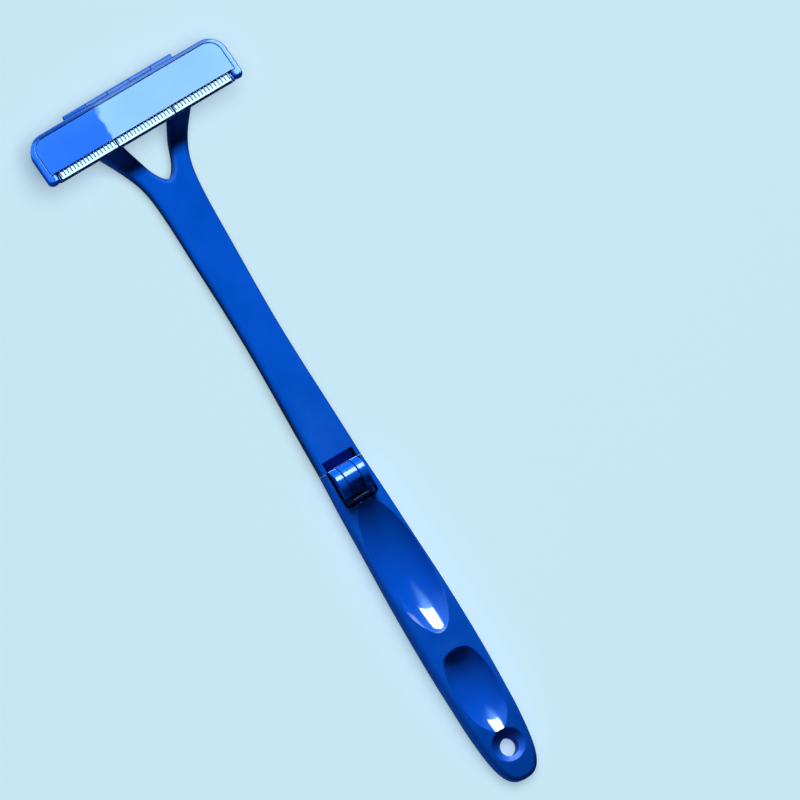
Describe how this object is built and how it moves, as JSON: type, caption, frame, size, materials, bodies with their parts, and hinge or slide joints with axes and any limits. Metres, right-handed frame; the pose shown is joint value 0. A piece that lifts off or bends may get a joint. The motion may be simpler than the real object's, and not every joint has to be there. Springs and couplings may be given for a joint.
{
  "type": "folding back shaver",
  "caption": "Folding long-handle back shaver: forked arm with a wide comb head over three double-edge size blades, locking fold hinge, scooped grip with a hang hole.",
  "frame": {"origin": "centre of the hang hole on the rear face of the grip, in the rest plane", "axes": "+Y along the handle towards the head, +Z out of the front (the scooped side), +X across the head"},
  "size_m": [0.147, 0.5213, 0.0327],
  "materials": {
    "blue_plastic": "glossy royal-blue moulded ABS",
    "blade_steel": "polished stainless strip steel with a honed edge",
    "zinc_steel": "zinc plated steel",
    "spring_steel": "drawn spring wire"
  },
  "bodies": {
    "grip": {"grip_front": "blue_plastic", "grip_back": "blue_plastic", "grip_screws": "zinc_steel", "hinge_block": "blue_plastic", "hinge_block_screws": "zinc_steel", "fold_pin": "zinc_steel", "lock_spring": "spring_steel"},
    "lock": {"lock_button": "blue_plastic"},
    "arm": {"arm_front": "blue_plastic", "arm_back": "blue_plastic", "arm_screws": "zinc_steel", "hinge_yoke": "blue_plastic", "yoke_screws": "zinc_steel", "head_base": "blue_plastic", "head_screws": "zinc_steel", "cover_hinge_rod": "zinc_steel", "razor_blade_left": "blade_steel", "razor_blade_centre": "blade_steel", "razor_blade_right": "blade_steel"},
    "cover": {"blade_cover": "blue_plastic"}
  },
  "joints": [
    {"name": "arm_fold", "type": "hinge", "parent": "grip", "child": "arm", "pos_m": [0, 0.2015, 0.0176], "axis": [1, 0, 0], "range_deg": [0, 180]},
    {"name": "lock_slide", "type": "slide", "parent": "grip", "child": "lock", "axis": [0, 1, 0], "range_m": [-0.0015, 0.001], "stiffness_N_per_m": 300, "springref_m": 0.001, "deforming": ["lock_spring"]},
    {"name": "cover_open", "type": "hinge", "parent": "arm", "child": "cover", "pos_m": [0, 0.49541, 0.01595], "axis": [-1, 0, 0], "range_deg": [0, 110]}
  ]
}
